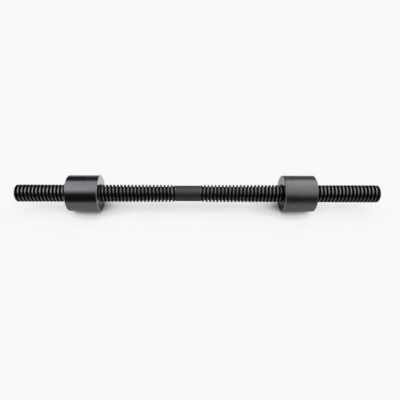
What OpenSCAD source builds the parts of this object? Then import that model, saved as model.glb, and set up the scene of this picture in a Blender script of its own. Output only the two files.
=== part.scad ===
// Trapezoidal lead screw with opposite threads on its two parts, and one round nut on each part.
// Millimetres. The screw's axis lies along X with its middle at the origin, and +Z is up.
// The left part is right-hand and the right part is left-hand, so a turn of the screw moves
// both nuts by one pitch, towards each other or apart.

/* [Thread form] */
// Outside diameter over the thread crests
thread_d = 24; // [20:0.5:28]
// Advance along the screw in one turn
pitch = 5; // [4:0.25:6]
// Angle between the two flanks of the trapezoid
flank_angle = 30; // [26:1:34]
// Radial gap between the screw's crests and the bottom of the nut's thread
crest_gap = 0.25; // [0.2:0.05:0.5]

/* [Screw] */
// Length of the right-hand part, from the left end to the plain middle
right_hand_len = 221.5; // [200:0.5:260]
// Length of the plain middle, which the threads leave bare
plain_len = 31.5; // [15:0.5:60]
// Length of the left-hand part, from the plain middle to the right end
left_hand_len = 247; // [220:0.5:280]
// Depth of the plain middle below the crests, as the blank is thinner than the rolled thread
plain_drop = 1.25; // [1.1:0.05:2]
// Turns over which each thread fades into the plain middle
runout_turns = 1.5; // [1:0.1:2.5]
// Width of the chamfer that breaks the crest's edge at each end
end_chamfer = 0.6; // [0.3:0.1:1.2]
// Angle at which the right-hand thread starts on its end
right_hand_start = 170; // [0:1:359]
// Angle at which the left-hand thread starts on its end
left_hand_start = 180; // [0:1:359]

/* [Nuts] */
// Outside diameter of each nut
nut_d = 50; // [44:1:60]
// Length of each nut
nut_len = 43.5; // [36:0.5:50]
// Chamfer on the outer edges of each nut
nut_chamfer = 0.8; // [0.4:0.1:1.5]
// Width of the countersink at each mouth of the nut's bore
bore_chamfer = 1.2; // [0.6:0.1:2]
// Distance from the screw's left end to the outer face of the left nut
left_nut_inset = 72.7; // [40:0.1:140]
// Distance from the screw's right end to the outer face of the right nut
right_nut_inset = 89.5; // [40:0.1:160]

/* [Hidden] */
$fn = 96;

// Flat steps that stand for one turn of the thread
thread_facets = 15;
// Length over which the faded thread dives below the plain middle, and how far it dives
dive_len = 1;
dive_depth = 0.45;
// Height by which the faded thread stands above the plain middle where the two meet
fade_rise = 0.06;
// Shares of the dive at which the plain middle's hidden end face lies
plain_reach = 0.06;
// Rows closer than this to a ring of points are merged with it
merge_gap = 0.35;

steel_color = [0.24, 0.24, 0.25];
nut_color = [0.3, 0.3, 0.31];

screw_len = right_hand_len + plain_len + left_hand_len;
thread_r = thread_d / 2;
plain_r = thread_r - plain_drop;

// Trapezoid: crest and root widths follow from the pitch and the flank angle
flank_slope = tan(flank_angle / 2);
crest_height = pitch / 4;
thread_depth = pitch / 2 + crest_gap;
root_r = thread_r - thread_depth;
crest_half = pitch / 4 - crest_height * flank_slope;
base_half = pitch / 4 + (thread_depth - crest_height) * flank_slope;
row_offset = [-base_half, -crest_half, crest_half, base_half];
row_is_crest = [false, true, true, false];
rows_per_turn = len(row_offset);
lead_in_turns = 2;

facet_inset = cos(180 / thread_facets);
fade_r = plain_r / facet_inset + fade_rise;
end_r = thread_r - end_chamfer;

bore_r = thread_r + crest_gap;
nut_r = nut_d / 2;
// Half a facet, by which each nut is turned so that it lies on a flat where it is drawn in facets
half_facet = 180 / $fn;

// Height of one row of points in a column, as a column further round lies higher on the helix
function row_height(column, row) =
    pitch * (floor(row / rows_per_turn) - lead_in_turns + column / thread_facets)
    + row_offset[row % rows_per_turn];

// Share of the full thread depth that is left at a height, from 1 down to 0 at the run-out's end
function depth_share(height, fade_end) =
    max(0, min(1, (fade_end - height) / (runout_turns * pitch)));

// Radius of a row, crest or root, faded towards the plain middle and cut by the end chamfer
function row_radius(height, row, fade_end) =
    let (
        form_r = row_is_crest[row % rows_per_turn] ? thread_r : root_r,
        faded_r = fade_r + (form_r - fade_r) * depth_share(height, fade_end)
    )
    min(faded_r, end_r + max(0, height));

// Radius of the end face in a column: the thread's own form, where the flat face cuts it
function end_radius(column) =
    let (
        along = pitch * column / thread_facets,
        from_crest = min(along, pitch - along),
        form_r = thread_r - max(0, from_crest - crest_half) / flank_slope
    )
    min(end_r, max(root_r, form_r));

// One point of the thread or of a ring, from its column, radius and height
function polar(column, radius, height) =
    let (angle = 360 * column / thread_facets)
    [radius * cos(angle), radius * sin(angle), height];

// Number of the point for a column and row: rows past either end merge into the ring there,
// and a step past the last column is the first column one turn further on
function point_at(column, row, rows, fade_end) =
    column == thread_facets
        ? point_at(0, row + rows_per_turn, rows, fade_end)
        : let (height = row_height(column, row))
          height < merge_gap ? rows * thread_facets + column
        : height > fade_end - merge_gap ? (rows + 1) * thread_facets + column
        : row * thread_facets + column;

// The triangles of four corners, without those that merging has closed up
function corner_faces(a, b, c, d) =
    [for (face = [[a, d, c], [a, c, b]])
        if (face[0] != face[1] && face[1] != face[2] && face[2] != face[0]) face];

// Helical trapezoidal thread, right-hand, rising along Z from its flat end to its run-out
module thread(part_len) {
    fade_end = part_len - dive_len;
    rows = rows_per_turn * (ceil(part_len / pitch) + 2 * lead_in_turns);
    last = thread_facets - 1;
    end_ring = rows * thread_facets;
    fade_ring = (rows + 1) * thread_facets;
    core_ring = (rows + 2) * thread_facets;
    end_middle = (rows + 3) * thread_facets;
    points = concat(
        [for (row = [0:rows - 1])
            for (column = [0:last])
                let (height = row_height(column, row))
                polar(column, row_radius(height, row, fade_end), height)],
        [for (column = [0:last]) polar(column, end_radius(column), 0)],
        [for (column = [0:last]) polar(column, fade_r, fade_end)],
        [for (column = [0:last]) polar(column, plain_r - dive_depth, part_len)],
        [[0, 0, 0]]
    );
    flanks = [for (column = [0:last])
        for (row = [0:rows - 2])
            each corner_faces(
                point_at(column, row, rows, fade_end),
                point_at(column + 1, row, rows, fade_end),
                point_at(column + 1, row + 1, rows, fade_end),
                point_at(column, row + 1, rows, fade_end)
            )];
    dive = [for (column = [0:last])
        let (next = (column + 1) % thread_facets)
        each corner_faces(fade_ring + column, fade_ring + next, core_ring + next, core_ring + column)];
    end_face = [for (column = [0:last])
        [end_middle, end_ring + column, end_ring + (column + 1) % thread_facets]];
    core_cap = [for (column = [last:-1:0]) core_ring + column];
    polyhedron(points = points, faces = concat(flanks, dive, end_face, [core_cap]), convexity = 10);
}

// One threaded part lying along +X from its end at the origin
module threaded_part(part_len, start_angle) {
    rotate([0, 90, 0])
        rotate([0, 0, start_angle])
            thread(part_len);
}

// Plain round middle, reaching a little way into each faded thread
module plain_middle() {
    reach = dive_len * (1 - plain_reach);
    translate([right_hand_len - reach, 0, 0])
        rotate([0, 90, 0])
            cylinder(r = plain_r, h = plain_len + 2 * reach);
}

// The screw, one piece of steel with a right-hand and a left-hand thread
module screw() {
    color(steel_color)
        translate([-screw_len / 2, 0, 0]) {
            threaded_part(right_hand_len, right_hand_start);
            plain_middle();
            translate([screw_len, 0, 0])
                mirror([1, 0, 0])
                    threaded_part(left_hand_len, left_hand_start);
        }
}

// A round nut lying along +X from one face at the origin, bored to the bottom of its own thread
module nut() {
    rotate([0, 90, 0])
        rotate([0, 0, half_facet])
            rotate_extrude()
                polygon([
                    [bore_r, bore_chamfer],
                    [bore_r + bore_chamfer, 0],
                    [nut_r - nut_chamfer, 0],
                    [nut_r, nut_chamfer],
                    [nut_r, nut_len - nut_chamfer],
                    [nut_r - nut_chamfer, nut_len],
                    [bore_r + bore_chamfer, nut_len],
                    [bore_r, nut_len - bore_chamfer]
                ]);
}

// The nut on the right-hand thread
module left_nut() {
    color(nut_color)
        translate([left_nut_inset - screw_len / 2, 0, 0])
            nut();
}

// The nut on the left-hand thread
module right_nut() {
    color(nut_color)
        translate([screw_len / 2 - right_nut_inset - nut_len, 0, 0])
            nut();
}

screw();
left_nut();
right_nut();
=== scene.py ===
import math

import bpy
from mathutils import Matrix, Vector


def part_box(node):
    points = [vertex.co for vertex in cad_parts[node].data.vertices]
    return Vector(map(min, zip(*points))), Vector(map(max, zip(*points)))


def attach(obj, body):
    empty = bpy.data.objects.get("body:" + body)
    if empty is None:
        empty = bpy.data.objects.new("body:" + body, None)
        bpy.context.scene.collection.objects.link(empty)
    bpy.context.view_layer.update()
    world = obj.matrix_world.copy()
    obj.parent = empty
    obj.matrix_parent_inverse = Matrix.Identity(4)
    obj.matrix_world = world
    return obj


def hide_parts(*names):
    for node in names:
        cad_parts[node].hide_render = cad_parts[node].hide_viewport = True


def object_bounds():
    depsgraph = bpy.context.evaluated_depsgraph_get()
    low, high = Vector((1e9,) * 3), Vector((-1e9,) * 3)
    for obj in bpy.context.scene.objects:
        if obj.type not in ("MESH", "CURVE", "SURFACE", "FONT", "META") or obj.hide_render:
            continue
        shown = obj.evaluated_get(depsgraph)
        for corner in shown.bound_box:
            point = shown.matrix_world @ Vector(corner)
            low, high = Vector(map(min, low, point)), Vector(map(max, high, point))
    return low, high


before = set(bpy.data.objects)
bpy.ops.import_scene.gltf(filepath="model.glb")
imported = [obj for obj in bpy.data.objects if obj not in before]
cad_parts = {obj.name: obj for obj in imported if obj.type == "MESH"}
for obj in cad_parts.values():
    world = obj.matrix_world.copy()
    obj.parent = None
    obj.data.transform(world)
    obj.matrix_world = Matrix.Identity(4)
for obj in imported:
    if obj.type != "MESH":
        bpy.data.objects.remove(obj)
cad_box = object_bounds()

# The screw is one bar of steel. A trapezoidal thread is rolled into each part of it, right-hand
# on the left and left-hand on the right, and the blank stays bare between the two run-outs. Both
# Both ends are cut square with a broken edge, then the bar is blackened, and its crests rub bright.
# On its outer parts the crests carry a painted highlight too, and its grooves a painted shade.
MM = 0.001
screw_low, screw_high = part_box("screw")
left_end, right_end = screw_low.x, screw_high.x
thread_r = 12 * MM
pitch = 5 * MM
flank_slope = math.tan(math.radians(15))
crest_gap = 0.25 * MM
thread_depth = pitch / 2 + crest_gap
root_r = thread_r - thread_depth
crest_half = pitch / 4 * (1 - flank_slope)
base_half = crest_half + thread_depth * flank_slope
right_hand_start = 170 / 360
left_hand_start = 180 / 360
right_hand_zero = left_end - pitch * right_hand_start
left_hand_zero = right_end + pitch * left_hand_start
plain_left = left_end + 221.5 * MM
plain_right = right_end - 247 * MM
plain_r = 10.75 * MM
runout = 1.5 * pitch
end_edge = 0.6 * MM
crest_ease = 0.3 * MM
screw_columns = 64


class Lathe:
    """A piece built of rings of points round the X axis, from the bottom round by the back."""

    def __init__(self, columns):
        self.columns = columns
        self.points = []
        self.faces = []

    def point(self, x, radius, column):
        angle = 2 * math.pi * column / self.columns
        self.points.append((x, radius * math.sin(angle), -radius * math.cos(angle)))
        return len(self.points) - 1

    def ring(self, x, radius):
        return self.uneven_ring(x, [radius] * self.columns)

    def uneven_ring(self, x, radii):
        return [self.point(x, radius, column) for column, radius in enumerate(radii)]

    def wall(self, first, last):
        for column in range(self.columns):
            after = (column + 1) % self.columns
            self.faces.append((first[column], first[after], last[after], last[column]))

    def turn(self, outline):
        rings = [self.ring(x, radius) for x, radius in outline]
        for first, last in zip(rings, rings[1:]):
            self.wall(first, last)
        return rings[0], rings[-1]

    def disc(self, ring, x, faces_right):
        middle = self.point(x, 0, 0)
        for column in range(self.columns):
            pair = ring[column], ring[(column + 1) % self.columns]
            self.faces.append((middle, *(pair if faces_right else pair[::-1])))

    def thread(self, first, last, form, zero, hand, radius_at, inside=False):
        """Helical rows of a thread form between two rings, merged into them where they meet."""
        rows = len(form)
        nearest = 0.3 * MM
        first_x, last_x = self.points[first[0]][0], self.points[last[0]][0]
        made = {}

        def corner(column, row):
            if column == self.columns:
                column, row = 0, row + hand * rows
            turn, step = divmod(row, rows)
            offset, form_r = form[step]
            x = zero + pitch * (turn + hand * column / self.columns) + offset
            if x < first_x + nearest:
                return first[column]
            if x > last_x - nearest:
                return last[column]
            if (column, row) not in made:
                made[column, row] = self.point(x, radius_at(x, form_r), column)
            return made[column, row]

        lowest = math.floor((first_x - zero) / pitch) - 2
        highest = math.ceil((last_x - zero) / pitch) + 2
        for row in range(lowest * rows, highest * rows):
            for column in range(self.columns):
                around = dict.fromkeys(
                    corner(*at)
                    for at in (
                        (column, row),
                        (column + 1, row),
                        (column + 1, row + 1),
                        (column, row + 1),
                    )
                )
                if len(around) > 2:
                    self.faces.append(tuple(around)[::-1] if inside else tuple(around))

    def piece(self, name, finish):
        mesh = bpy.data.meshes.new(name)
        mesh.from_pydata(self.points, [], self.faces)
        mesh.shade_smooth()
        mesh.set_sharp_from_angle(angle=math.radians(50))
        mesh.materials.append(finish)
        made = bpy.data.objects.new(name, mesh)
        bpy.context.scene.collection.objects.link(made)
        made.modifiers.new("flat faces", "WEIGHTED_NORMAL").keep_sharp = True
        return made


def softened(corners, ease):
    """A run of points with each corner in it eased by three points."""
    run = [corners[0]]
    for before, corner, after in zip(corners, corners[1:], corners[2:]):
        sides = []
        for other in (before, after):
            share = min(0.45, ease / math.dist(corner, other))
            sides.append([c + (o - c) * share for c, o in zip(corner, other)])
        middle = [(a + 2 * c + b) / 4 for a, c, b in zip(sides[0], corner, sides[1])]
        run += [sides[0], middle, sides[1]]
    return run + [corners[-1]]


def thread_form(top_r, top_half, bottom_r, bottom_half, ease):
    """One pitch of a trapezoidal form about its crest, with eased corners."""
    corners = [
        (top_half - pitch, top_r),
        (bottom_half - pitch, bottom_r),
        (-bottom_half, bottom_r),
        (-top_half, top_r),
        (top_half, top_r),
        (bottom_half, bottom_r),
        (pitch - bottom_half, bottom_r),
    ]
    return softened(corners, ease)[4:-1]


def screw_radius(end, plain):
    """The rule for a threaded part: full form, faded to the plain middle, its end's edge broken."""

    def radius_at(x, form_r):
        share = min(1, abs(plain - x) / runout)
        faded = plain_r + (form_r - plain_r) * share
        return min(faded, thread_r - end_edge + abs(x - end))

    return radius_at


def cut_end(bar, end, zero, hand, faces_right):
    """A square end: the flat face has the outline of the thread where it is cut."""
    radii = []
    for column in range(bar.columns):
        turns = (end - zero) / pitch - hand * column / bar.columns
        from_crest = pitch * abs(turns - round(turns))
        form_r = thread_r - max(0, from_crest - crest_half) / flank_slope
        radii.append(min(thread_r - end_edge, max(root_r, form_r)))
    ring = bar.uneven_ring(end, radii)
    bar.disc(ring, end, faces_right)
    return ring


screw_form = thread_form(thread_r, crest_half, root_r, base_half, crest_ease)
bar = Lathe(screw_columns)
left_face = cut_end(bar, left_end, right_hand_zero, 1, faces_right=False)
plain_first, plain_last = bar.turn([(plain_left, plain_r), (plain_right, plain_r)])
right_face = cut_end(bar, right_end, left_hand_zero, -1, faces_right=True)
left_rule = screw_radius(left_end, plain_left)
right_rule = screw_radius(right_end, plain_right)
bar.thread(left_face, plain_first, screw_form, right_hand_zero, 1, left_rule)
bar.thread(plain_last, right_face, screw_form, left_hand_zero, -1, right_rule)


class Wire:
    """A socket in a node tree. Arithmetic on it adds Math nodes."""

    def __init__(self, tree, socket=None):
        self.tree = tree
        self.socket = socket

    def node(self, kind, settings=None, values=None, output=0):
        made = self.tree.nodes.new(kind)
        for name, value in (settings or {}).items():
            setattr(made, name, value)
        for name, value in (values or {}).items():
            if isinstance(value, Wire):
                self.tree.links.new(value.socket, made.inputs[name])
            else:
                made.inputs[name].default_value = value
        return Wire(self.tree, made.outputs[output] if made.outputs else None)

    def math(self, operation, *values):
        return self.node("ShaderNodeMath", {"operation": operation}, dict(enumerate(values)))

    def __add__(self, other):
        return self.math("ADD", self, other)

    def __radd__(self, other):
        return self.math("ADD", other, self)

    def __sub__(self, other):
        return self.math("SUBTRACT", self, other)

    def __rsub__(self, other):
        return self.math("SUBTRACT", other, self)

    def __mul__(self, other):
        return self.math("MULTIPLY", self, other)

    def __rmul__(self, other):
        return self.math("MULTIPLY", other, self)

    def __truediv__(self, other):
        return self.math("DIVIDE", self, other)

    def __rtruediv__(self, other):
        return self.math("DIVIDE", other, self)

    def __pow__(self, other):
        return self.math("POWER", self, other)

    def __abs__(self):
        return self.math("ABSOLUTE", self)

    def at_most(self, limit):
        return self.math("MINIMUM", self, limit)

    def at_least(self, limit):
        return self.math("MAXIMUM", self, limit)

    def parts(self):
        kind = "ShaderNodeSeparateXYZ"
        first = self.node(kind, values={0: self})
        return [Wire(self.tree, socket) for socket in first.socket.node.outputs]

    def vector(self, x, y, z):
        return self.node("ShaderNodeCombineXYZ", values={0: x, 1: y, 2: z})

    def between(self, low, high):
        """0 below low, 1 above high, and a smooth step between; low may be the higher one."""
        return self.node(
            "ShaderNodeMapRange",
            {"interpolation_type": "SMOOTHSTEP"},
            {"Value": self, "From Min": low, "From Max": high},
        )

    def blend(self, first, second):
        """One colour where this wire is 0, another where it is 1."""
        settings = {"data_type": "RGBA"}
        return self.node("ShaderNodeMix", settings, {0: self, 6: first, 7: second}, 2)

    def noise(self, place, scale, detail=2.0, roughness=0.5):
        values = {"Vector": place, "Scale": scale, "Detail": detail, "Roughness": roughness}
        return self.node("ShaderNodeTexNoise", values=values)


def tinted(level, tint=(1, 1, 1)):
    """A nearly grey colour, from its level and the tint that it leans to."""
    return (*(level * share for share in tint), 1)


def new_finish(name):
    finish = bpy.data.materials.new(name)
    finish.use_nodes = True
    finish.node_tree.nodes.clear()
    return finish, Wire(finish.node_tree)


def steel(sheet, color, roughness, edge_tint, height, relief):
    """Blackened steel: its colour, roughness, reflection at a glancing angle and fine relief."""
    bump = sheet.node(
        "ShaderNodeBump", values={"Strength": 1.0, "Distance": relief, "Height": height}
    )
    metal = sheet.node(
        "ShaderNodeBsdfPrincipled",
        values={
            "Metallic": 1.0,
            "Base Color": color,
            "Roughness": roughness,
            "Specular Tint": tinted(edge_tint),
            "Normal": bump,
        },
    )
    sheet.node("ShaderNodeOutputMaterial", values={"Surface": metal})


screw_tint = 0.99, 1.0, 0.92
oxide_tones = 0.05, 0.062
# Near-black painted shade for the thread's roots and flanks.
groove_shade_tone = 0.004
crest_tones = 0.105, 0.155
plain_tone = 0.06
sawn_tones = 0.07, 0.14
bare_fade = 0.4 * pitch
sawn_skin = 0.1 * MM
# Past these distances from the middle the crests get a painted highlight, weaker on the right.
crest_highlight_reach = 110 * MM, 180 * MM
right_crest_highlight = 0.2
rolled_gloss = 0.42
rub_polish = 0.1
plain_dulling = 0.14
screw_edge_tint = 0.5
screw_relief = 0.012 * MM
rolled_steel, sheet = new_finish("rolled_steel")
place = sheet.node("ShaderNodeTexCoord", output="Object")
x, y, z = place.parts()
turn = y.math("ARCTAN2", y, -1 * z) / (2 * math.pi)
bare = x.between(plain_left - bare_fade, plain_left)
bare = bare * x.between(plain_right + bare_fade, plain_right)
on_right = x.math("GREATER_THAN", x, (plain_left + plain_right) / 2)
left_turns = (x - right_hand_zero) / pitch - turn
right_turns = (x - left_hand_zero) / pitch + turn
turns = left_turns + on_right * (right_turns - left_turns)
from_crest = turns.math("PINGPONG", turns, 0.5) * pitch
rubbed = from_crest.between(1.05 * crest_half, 0.7 * crest_half) * (1 - bare)
# Mask of the thread's flanks and roots, where the painted groove shade goes.
groove_shade_mask = from_crest.between(crest_half, base_half) * (1 - bare)
cut = x.between(left_end + sawn_skin, left_end) + x.between(right_end - sawn_skin, right_end)
patches = sheet.noise(place, 90, 4.0, 0.6)
specks = sheet.noise(place, 900, 3.0, 0.6)
round_marks = sheet.noise(sheet.vector(x * 2600, y * 130, z * 130), 1.0, 3.0, 0.6)
long_marks = sheet.noise(sheet.vector(x * 40, y * 1800, z * 1800), 1.0, 2.0, 0.5)
saw_marks = sheet.noise(sheet.vector(x, y * 60, z * 2400), 1.0, 2.0, 0.6)
oxide = patches.between(0.3, 0.7).blend(*(tinted(tone, screw_tint) for tone in oxide_tones))
# Painted shade: the oxide goes near black in the thread's grooves.
oxide_and_groove_shade = (groove_shade_mask * (0.75 + 0.25 * specks)).blend(oxide, tinted(groove_shade_tone, screw_tint))
wear = rubbed * (0.45 + 0.5 * patches + 0.5 * round_marks - 0.25 * specks)
# Painted highlight: the crests on the outer parts take the brighter crest tone.
outer_crest_highlight = x.between(-crest_highlight_reach[0], -crest_highlight_reach[1]) + right_crest_highlight * x.between(*crest_highlight_reach)
crest_wear_and_highlight = outer_crest_highlight.blend(*(tinted(tone, screw_tint) for tone in crest_tones))
threaded = bare.blend(wear.blend(oxide_and_groove_shade, crest_wear_and_highlight), tinted(plain_tone, screw_tint))
sawn = saw_marks.between(0.3, 0.7).blend(*(tinted(tone, screw_tint) for tone in sawn_tones))
roughness = rolled_gloss + 0.1 * (patches - 0.5) + 0.08 * (round_marks - 0.5)
roughness = roughness - rub_polish * rubbed + plain_dulling * bare
relief = round_marks * 0.6 + specks * 0.3 + long_marks * 0.3 + cut * saw_marks
steel(sheet, cut.blend(threaded, sawn), roughness, screw_edge_tint, relief, screw_relief)

screw = bar.piece("rolled_screw", rolled_steel)
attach(screw, "screw")
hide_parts("screw")

# Each nut is a plain round of steel, turned, faced and chamfered, with a trapezoidal thread cut
# through it that matches its own part of the screw. The nuts are blackened after turning, so the
# tool's fine rings still show, and their edges are rubbed bright.
nut_columns = 128
nut_edge = 0.8 * MM
nut_ease = 0.14 * MM
mouth_r = thread_r + crest_gap + 1.2 * MM
flank_play = 0.08 * MM
worn_tone = 0.24
face_gloss = 0.15
edge_gloss = 0.4
nut_edge_tint = 0.8
nut_relief = 0.006 * MM
scratch_len = 7 * MM
scratch_width = 1 * MM
scratch_place = 129.65 * MM, -38.1 * MM
scratch_lean = 0.9, 0.436
ridge_r = thread_r - pitch / 2
groove_half = crest_half - crest_gap * flank_slope + flank_play
ridge_half = crest_half + pitch / 2 * flank_slope + flank_play
nut_form = thread_form(thread_r + crest_gap, groove_half, ridge_r, ridge_half, crest_ease)


def nut_radius(first_x, last_x):
    """The rule for a nut's thread: full form, opened out by the countersink at each mouth."""

    def radius_at(x, form_r):
        return max(form_r, mouth_r - min(x - first_x, last_x - x))

    return radius_at


def turned_steel(name, middle, half_len, nut_r, tint, tone, gloss, face_color):
    """Turned and blackened steel, with tool rings round the outside and over the faces."""
    finish, sheet = new_finish(name)
    place = sheet.node("ShaderNodeTexCoord", output="Object")
    x, y, z = place.parts()
    radius = (y * y + z * z) ** 0.5
    along = abs(x - middle)
    travel = x + radius
    rings = sheet.noise(sheet.vector(travel * 5200, y * 14, z * 14), 1.0, 2.0, 0.6)
    bands = sheet.noise(sheet.vector(travel * 420, y * 9, z * 9), 1.0, 2.0, 0.5)
    clouds = sheet.noise(place, 60, 4.0, 0.55)
    specks = sheet.noise(place, 1500, 2.0, 0.6)
    edge = (along - half_len).at_most(radius - nut_r)
    edge = edge.between(-1.1 * nut_edge, -0.35 * nut_edge)
    faced = along.between(half_len - 0.3 * MM, half_len - 0.1 * MM)
    around = y.math("ARCTAN2", y, -1 * z) * nut_r
    scratch_x = x - scratch_place[0]
    scratch_y = around - scratch_place[1]
    scratch = abs(scratch_x * scratch_lean[0] + scratch_y * scratch_lean[1])
    scratch = scratch.between(0.5 * scratch_len, 0.3 * scratch_len)
    scratch_side = abs(scratch_y * scratch_lean[0] - scratch_x * scratch_lean[1])
    scratch = scratch * scratch_side.between(0.5 * scratch_width, 0.1 * scratch_width)
    oxide = clouds.between(0.3, 0.7).blend(tinted(tone * 0.93, tint), tinted(tone * 1.07, tint))
    ringed = (0.3 * bands + 0.12 * rings).blend(oxide, tinted(tone * 1.25, tint))
    color = faced.blend(ringed, face_color)
    worn = edge * (0.5 + 0.8 * clouds) + scratch
    color = worn.at_most(1.0).blend(color, tinted(worn_tone, tint))
    roughness = gloss + 0.05 * (clouds - 0.5) + 0.08 * (bands - 0.5) + 0.05 * (specks - 0.5)
    roughness = roughness + (face_gloss - gloss) * faced + (edge_gloss - gloss) * edge
    steel(sheet, color, roughness, nut_edge_tint, rings * 0.7 + specks * 0.3, nut_relief)
    return finish


def round_nut(name, node, zero, hand, tint, tone, gloss, face_color):
    """A nut in its node's place, threaded to match its part of the screw."""
    low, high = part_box(node)
    outer_r = high.z
    blank = Lathe(nut_columns)
    outline = [
        (low.x, mouth_r),
        (low.x, outer_r - nut_edge),
        (low.x + nut_edge, outer_r),
        (high.x - nut_edge, outer_r),
        (high.x, outer_r - nut_edge),
        (high.x, mouth_r),
    ]
    first, last = blank.turn(softened(outline, nut_ease))
    blank.thread(first, last, nut_form, zero, hand, nut_radius(low.x, high.x), inside=True)
    middle, half_len = (low.x + high.x) / 2, (high.x - low.x) / 2
    finish = turned_steel(
        name + "_steel", middle, half_len, outer_r, tint, tone, gloss, face_color
    )
    nut = blank.piece(name, finish)
    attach(nut, node)
    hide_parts(node)


right_tint = 0.955, 1.0, 0.95
round_nut(
    "left_round_nut",
    "left_nut",
    right_hand_zero,
    hand=1,
    tint=(0.975, 1.0, 1.055),
    tone=0.1,
    gloss=0.24,
    face_color=tinted(0.55),
)
round_nut(
    "right_round_nut",
    "right_nut",
    left_hand_zero,
    hand=-1,
    tint=right_tint,
    tone=0.095,
    gloss=0.37,
    face_color=tinted(0.2, right_tint),
)

# The floor is a sheet of white card. Most of its white is its own, so that it stays even all over,
# with a painted shadow in it: grey from ambient occlusion close under the object, leaning to the
# side away from the nearer wall. In reflections the card is painted black past a line near the
# object's front, so that past it the steel mirrors a dark room, and a painted shade darkens the
# reflected strip under the bar beside a nut.
floor_z = cad_box[0].z
floor_reach = 8.0
own_white = 0.85
shade_reach = 45 * MM
shade_middle = -50 * MM
side_reach = 120 * MM
lean_limits = -1.0, 1.3
side_lean = 0.45
core_opening = 0.18, 0.51
rim_opening = 0.53, 0.66
rim_share = 0.2
# Painted darkness seen only in reflections: past this line in front, and in a strip under the bar.
painted_dark_front = -65 * MM, -185 * MM
painted_front_darkening = 0.95
painted_shade_strip = 17 * MM, 9 * MM
painted_shade_opening = 0.6, 0.36
painted_bar_shade = 0.66
card_white = (0.78, 0.78, 0.78, 1)
seen_white = (0.94, 0.94, 0.94, 1)
# The grey of the painted shadow under the object.
painted_shadow_grey = (0.115, 0.12, 0.125, 1)
black = (0, 0, 0, 1)
card_mesh = bpy.data.meshes.new("card_floor")
card_corners = (-2, -1), (2, -1), (0, 2)
card_mesh.from_pydata(
    [(x * floor_reach, y * floor_reach, floor_z) for x, y in card_corners], [], [(0, 1, 2)]
)
floor = bpy.data.objects.new("card_floor", card_mesh)
bpy.context.scene.collection.objects.link(floor)
white_card, sheet = new_finish("white_card")
watched = sheet.node("ShaderNodeLightPath", output="Is Camera Ray")
mirrored = sheet.node("ShaderNodeLightPath", output="Is Glossy Ray")
mirrored = mirrored + sheet.node("ShaderNodeLightPath", output="Is Transmission Ray")
mirrored = mirrored.at_most(1.0)
x, y, _ = sheet.node("ShaderNodeTexCoord", output="Object").parts()
outward = (x - shade_middle) / side_reach
outward = outward.at_most(lean_limits[1]).at_least(lean_limits[0])
to_light = sheet.vector(side_lean * outward, 0.0, 1.0)
to_light = sheet.node("ShaderNodeVectorMath", {"operation": "NORMALIZE"}, {0: to_light})
open_above = sheet.node(
    "ShaderNodeAmbientOcclusion",
    {"samples": 32},
    {"Distance": shade_reach, "Normal": to_light},
    "AO",
)
# Painted shadow: the own white goes grey where the object is close above.
core, rim = open_above.between(*core_opening), open_above.between(*rim_opening)
shade = (1 - rim_share) * core + rim_share * rim
# In reflections only, the card is painted black past the front line and in painted shade under the
# bar.
painted_shade_under_bar = abs(y).between(*painted_shade_strip) * open_above.between(*painted_shade_opening)
kept_after_painted_shade = 1 - mirrored * (painted_front_darkening * y.between(*painted_dark_front) + painted_bar_shade * painted_shade_under_bar)
# The own white, with its painted shadow and the painted darkness seen in reflections.
own_white_and_painted_shadow = kept_after_painted_shade.blend(black, shade.blend(painted_shadow_grey, seen_white))
lit_card = sheet.node("ShaderNodeBsdfDiffuse", values={"Color": kept_after_painted_shade.blend(black, card_white)})
emitted_white_and_shadow = sheet.node("ShaderNodeEmission", values={"Color": own_white_and_painted_shadow, "Strength": 1.0})
seen = watched + mirrored
shown = sheet.node(
    "ShaderNodeMixShader",
    values={0: seen.at_most(1.0) * own_white, 1: lit_card, 2: emitted_white_and_shadow},
)
sheet.node("ShaderNodeOutputMaterial", values={"Surface": shown})
card_mesh.materials.append(white_card)

# The light is one large soft panel overhead, wider towards the right and dimmer along its middle,
# with its front edge set back over the camera, a small screen at its back and a pale wall low on
# either side. Between them the steel mirrors a dark room. The camera sees a plain pale backdrop.
panel_level = 2.18
middle_share = 0.57
side_gain = 1.35
corner_gain = 1.8
corner_limits = -0.05, 0.45
room_level = 0.03
backdrop_level = 0.8
backdrop_top = 0.14, 0.02
backdrop_front = -0.75, -0.35
side_edges = 0.9, 0.68
back_edges = 0.92, 0.78
back_spread = 0.45
front_edges = 1.45, 0.36
front_spread = 1.4
left_limit = -0.12
gap_left = -0.3, 0.12
gap_right = 0.26, 0.2
gap_depth = 0.75
gap_gain = 0.35
horizon = 0.0, 0.02
screen_level = 3.0
screen_left = 0.03
screen_sides = 0.12, 0.05
screen_top = 0.66, 0.56
screen_back = 0.2, 0.4
wall_level = 1.8
wall_sides = 0.8, 0.92
wall_bottom = 0.1, 0.2
wall_top = 0.5, 0.38
pale = 0.94
room = bpy.data.worlds.new("room")
bpy.context.scene.world = room
room.use_nodes = True
room.node_tree.nodes.clear()
sheet = Wire(room.node_tree)
side, away, up = sheet.node("ShaderNodeTexCoord", output="Generated").parts()
above = up.at_least(0.001)
across = side / above
along = away / above
corners = across * along * corner_gain
corners = corners.at_most(corner_limits[1]).at_least(corner_limits[0])
lean = across.at_least(left_limit)
gap = side.between(*gap_left) * side.between(*gap_right)
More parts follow.
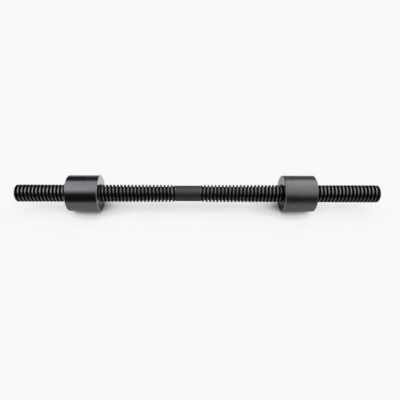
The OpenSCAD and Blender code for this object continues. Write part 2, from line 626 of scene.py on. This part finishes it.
panel = (
    abs(across).between(*side_edges)
    * (along - back_spread * across).between(*back_edges)
    * (gap_depth * gap - along - front_spread * lean).between(*front_edges)
    * (middle_share + side_gain * abs(across))
    * (1 + corners)
    * (1 + gap_gain * gap)
    * up.between(*horizon)
)
backdrop = up.between(*backdrop_top) * away.between(*backdrop_front)
screen = abs(side + screen_left).between(*screen_sides)
screen = screen * up.between(*screen_top) * away.between(*screen_back)
level = room_level + backdrop * (backdrop_level - room_level) + panel * (panel_level - room_level)
walls = abs(side).between(*wall_sides) * up.between(*wall_bottom) * up.between(*wall_top)
level = level + screen * screen_level + walls * wall_level
watched = sheet.node("ShaderNodeLightPath", output="Is Camera Ray")
mirrored = sheet.node("ShaderNodeLightPath", output="Is Glossy Ray")
mirrored = mirrored + sheet.node("ShaderNodeLightPath", output="Is Transmission Ray")
seen = watched + mirrored * backdrop
level = level + seen.at_most(1.0) * (pale - level)
glow = sheet.node("ShaderNodeBackground", values={"Color": (1, 1, 1, 1), "Strength": level})
sheet.node("ShaderNodeOutputWorld", values={"Surface": glow})

# The camera stands in front of the screw and above it, a little left of its middle, and looks down
# on it square to its length. Its place, lens and shift give the photo's framing.
frame_px = 400
mm_per_px = 1.393
focus_px = 350
camera_x = -9.3 * MM
camera_rise = math.radians(42)
camera_roll = math.radians(0.136)
axis_above_px = 6.56
optical_left_px = 9.5
distance = focus_px * mm_per_px * MM
camera_data = bpy.data.cameras.new("camera")
camera_data.sensor_width = 36
camera_data.lens = camera_data.sensor_width * focus_px / frame_px
camera_data.shift_x = optical_left_px / frame_px
camera_data.clip_start = 0.01
camera = bpy.data.objects.new("camera", camera_data)
bpy.context.scene.collection.objects.link(camera)
dip = math.atan(axis_above_px / focus_px)
stand = Matrix.Translation(
    (camera_x, -distance * math.cos(camera_rise), distance * math.sin(camera_rise))
)
look_down = Matrix.Rotation(math.pi / 2 - camera_rise - dip, 4, "X")
camera.matrix_world = stand @ look_down @ Matrix.Rotation(camera_roll, 4, "Z")
bpy.context.scene.camera = camera
bpy.context.scene.view_settings.view_transform = "Standard"
